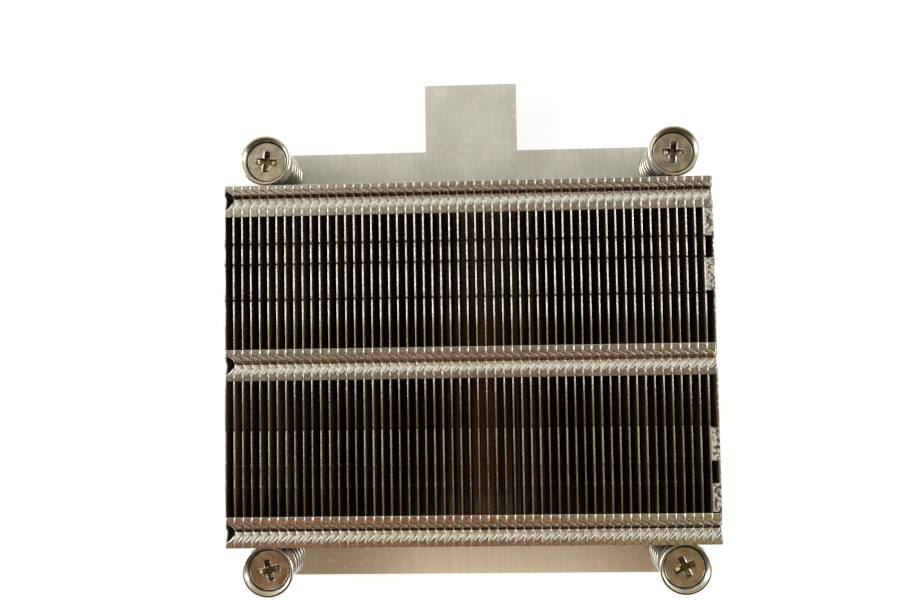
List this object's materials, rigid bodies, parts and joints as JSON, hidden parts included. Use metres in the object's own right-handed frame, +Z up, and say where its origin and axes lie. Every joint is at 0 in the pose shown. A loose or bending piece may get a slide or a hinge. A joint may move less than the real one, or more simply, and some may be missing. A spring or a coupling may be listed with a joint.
{
  "type": "passive server cpu heatsink",
  "caption": "Passive CPU heatsink: interlocking folded fins on a flat base plate with a rear tongue and spring-loaded captive screws at its corners.",
  "frame": {"origin": "centre of the contact land under the base plate, at the centre of the screw pattern", "axes": "+Z up from the processor through the fins, +Y towards the rear tongue along the air flow, +X to the end fin's side"},
  "size_m": [0.0944, 0.1037, 0.0277],
  "materials": {
    "nickel_plate": "satin nickel plating with a fine grain along the length",
    "fin_aluminium": "bright rolled sheet",
    "screw_steel": "nickel-plated steel, slightly mottled",
    "cup_nickel": "polished nickel",
    "spring_steel": "bright drawn wire",
    "clip_steel": "plain steel"
  },
  "bodies": {
    "heatsink": {"base_plate": "nickel_plate", "fin_pair_01": "fin_aluminium", "fin_pair_02": "fin_aluminium", "fin_pair_03": "fin_aluminium", "fin_pair_04": "fin_aluminium", "fin_pair_05": "fin_aluminium", "fin_pair_06": "fin_aluminium", "fin_pair_07": "fin_aluminium", "fin_pair_08": "fin_aluminium", "fin_pair_09": "fin_aluminium", "fin_pair_10": "fin_aluminium", "fin_pair_11": "fin_aluminium", "fin_pair_12": "fin_aluminium", "fin_pair_13": "fin_aluminium", "fin_pair_14": "fin_aluminium", "fin_pair_15": "fin_aluminium", "fin_pair_16": "fin_aluminium", "fin_pair_17": "fin_aluminium", "fin_pair_18": "fin_aluminium", "fin_pair_19": "fin_aluminium", "fin_pair_20": "fin_aluminium", "fin_pair_21": "fin_aluminium", "fin_pair_22": "fin_aluminium", "fin_pair_23": "fin_aluminium", "fin_pair_24": "fin_aluminium", "fin_pair_25": "fin_aluminium", "fin_pair_26": "fin_aluminium", "fin_pair_27": "fin_aluminium", "fin_pair_28": "fin_aluminium", "end_fin": "fin_aluminium", "compression_spring_rear_left": "spring_steel", "compression_spring_rear_right": "spring_steel", "compression_spring_front_left": "spring_steel", "compression_spring_front_right": "spring_steel"},
    "cup_rear_left": {"spring_cup_rear_left": "cup_nickel"},
    "screw_rear_left": {"captive_screw_rear_left": "screw_steel", "retaining_clip_rear_left": "clip_steel"},
    "cup_rear_right": {"spring_cup_rear_right": "cup_nickel"},
    "screw_rear_right": {"captive_screw_rear_right": "screw_steel", "retaining_clip_rear_right": "clip_steel"},
    "cup_front_left": {"spring_cup_front_left": "cup_nickel"},
    "screw_front_left": {"captive_screw_front_left": "screw_steel", "retaining_clip_front_left": "clip_steel"},
    "cup_front_right": {"spring_cup_front_right": "cup_nickel"},
    "screw_front_right": {"captive_screw_front_right": "screw_steel", "retaining_clip_front_right": "clip_steel"}
  },
  "joints": [
    {"name": "press_rear_left", "type": "slide", "parent": "heatsink", "child": "cup_rear_left", "axis": [0, 0, 1], "range_m": [-0.006, 0], "stiffness_N_per_m": 3400, "springref_m": 0.0005, "deforming": ["compression_spring_rear_left"]},
    {"name": "turn_rear_left", "type": "hinge", "parent": "cup_rear_left", "child": "screw_rear_left", "pos_m": [-0.04, 0.04, 0], "axis": [0, 0, 1], "continuous": true},
    {"name": "press_rear_right", "type": "slide", "parent": "heatsink", "child": "cup_rear_right", "axis": [0, 0, 1], "range_m": [-0.006, 0], "stiffness_N_per_m": 3400, "springref_m": 0.0005, "deforming": ["compression_spring_rear_right"]},
    {"name": "turn_rear_right", "type": "hinge", "parent": "cup_rear_right", "child": "screw_rear_right", "pos_m": [0.04, 0.04, 0], "axis": [0, 0, 1], "continuous": true},
    {"name": "press_front_left", "type": "slide", "parent": "heatsink", "child": "cup_front_left", "axis": [0, 0, 1], "range_m": [-0.006, 0], "stiffness_N_per_m": 3400, "springref_m": 0.0005, "deforming": ["compression_spring_front_left"]},
    {"name": "turn_front_left", "type": "hinge", "parent": "cup_front_left", "child": "screw_front_left", "pos_m": [-0.04, -0.04, 0], "axis": [0, 0, 1], "continuous": true},
    {"name": "press_front_right", "type": "slide", "parent": "heatsink", "child": "cup_front_right", "axis": [0, 0, 1], "range_m": [-0.006, 0], "stiffness_N_per_m": 3400, "springref_m": 0.0005, "deforming": ["compression_spring_front_right"]},
    {"name": "turn_front_right", "type": "hinge", "parent": "cup_front_right", "child": "screw_front_right", "pos_m": [0.04, -0.04, 0], "axis": [0, 0, 1], "continuous": true}
  ]
}
